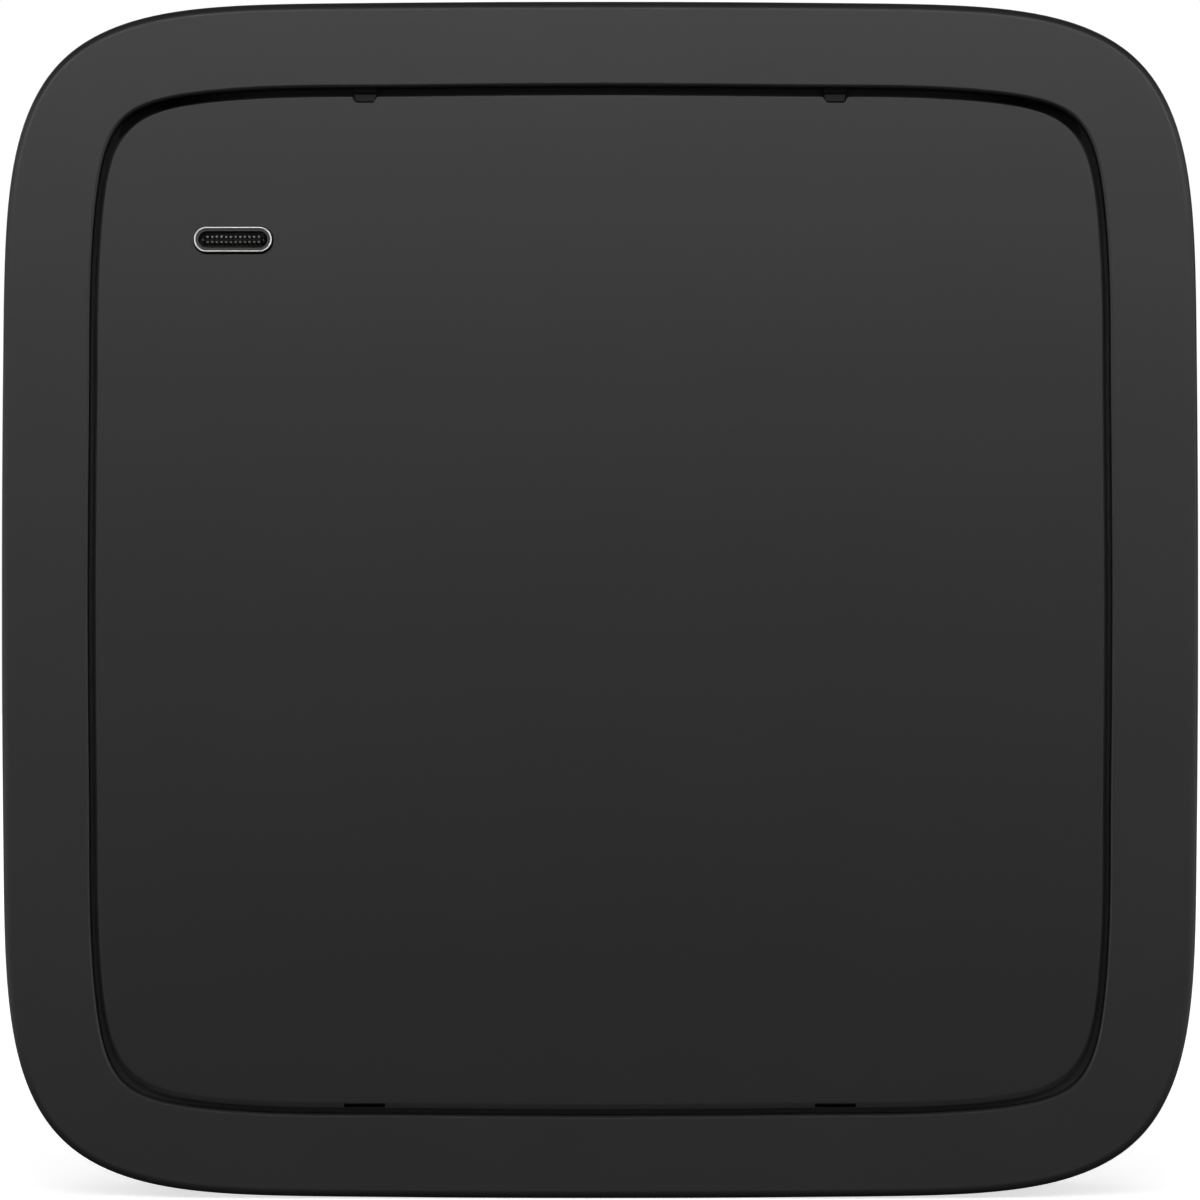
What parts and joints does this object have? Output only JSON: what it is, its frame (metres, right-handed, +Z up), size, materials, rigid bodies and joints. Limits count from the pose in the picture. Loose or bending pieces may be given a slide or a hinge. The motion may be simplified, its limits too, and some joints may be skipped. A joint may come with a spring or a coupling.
{
  "type": "mesh wifi node",
  "caption": "Upright square mesh wifi node with soft corners, a clip-in rear panel set in a dark groove, a USB-C power inlet and a side pairing button.",
  "frame": {"origin": "on the resting surface, midway across the width and the depth", "axes": "+Z up; -Y out of the rear face, where the inlet is; +X to the right as the rear face is seen"},
  "size_m": [0.135, 0.032, 0.135],
  "materials": {
    "front_cover": "satin fine-grain charcoal",
    "rear_housing": "satin fine-grain charcoal",
    "rear_panel": "satin fine-grain charcoal",
    "button": "satin charcoal",
    "connector_steel": "bright nickel plated",
    "connector_tongue": "black moulding",
    "board": "green solder resist",
    "shield_tin": "tinned sheet",
    "thermal_pad": "soft silicone",
    "heatsink": "extruded",
    "screw": "black zinc",
    "antenna": "black laminate",
    "lead": "black jacket",
    "plug": "gold plated",
    "led": "white package",
    "light_pipe": "milky clear",
    "switch": "black moulding",
    "plunger": "tan moulding"
  },
  "bodies": {
    "housing": {"rear_housing": "rear_housing", "front_cover": "front_cover", "usb_shell": "connector_steel", "usb_tongue": "connector_tongue", "main_board": "board", "shield_can_radio": "shield_tin", "shield_can_cpu": "shield_tin", "thermal_pad_radio": "thermal_pad", "thermal_pad_cpu": "thermal_pad", "heatsink": "heatsink", "heatsink_screw_left": "screw", "heatsink_screw_right": "screw", "board_screw_1": "screw", "board_screw_2": "screw", "board_screw_3": "screw", "board_screw_4": "screw", "housing_screw_1": "screw", "housing_screw_2": "screw", "housing_screw_3": "screw", "housing_screw_4": "screw", "antenna_left": "antenna", "antenna_right": "antenna", "antenna_top_left": "antenna", "antenna_top_right": "antenna", "antenna_lead_left": "lead", "antenna_lead_right": "lead", "antenna_lead_top_left": "lead", "antenna_lead_top_right": "lead", "antenna_plug_left": "plug", "antenna_plug_right": "plug", "antenna_plug_top_left": "plug", "antenna_plug_top_right": "plug", "status_led": "led", "light_pipe": "light_pipe", "switch_body": "switch"},
    "panel": {"rear_panel": "rear_panel"},
    "button": {"pairing_button": "button", "switch_plunger": "plunger"}
  },
  "joints": [
    {"name": "panel_tilt", "type": "hinge", "parent": "housing", "child": "panel", "pos_m": [0, -0.01415, 0.1256], "axis": [-1, 0, 0], "range_deg": [0, 20]},
    {"name": "button_press", "type": "slide", "parent": "housing", "child": "button", "axis": [-1, 0, 0], "range_m": [0, 0.0005], "stiffness_N_per_m": 600}
  ]
}
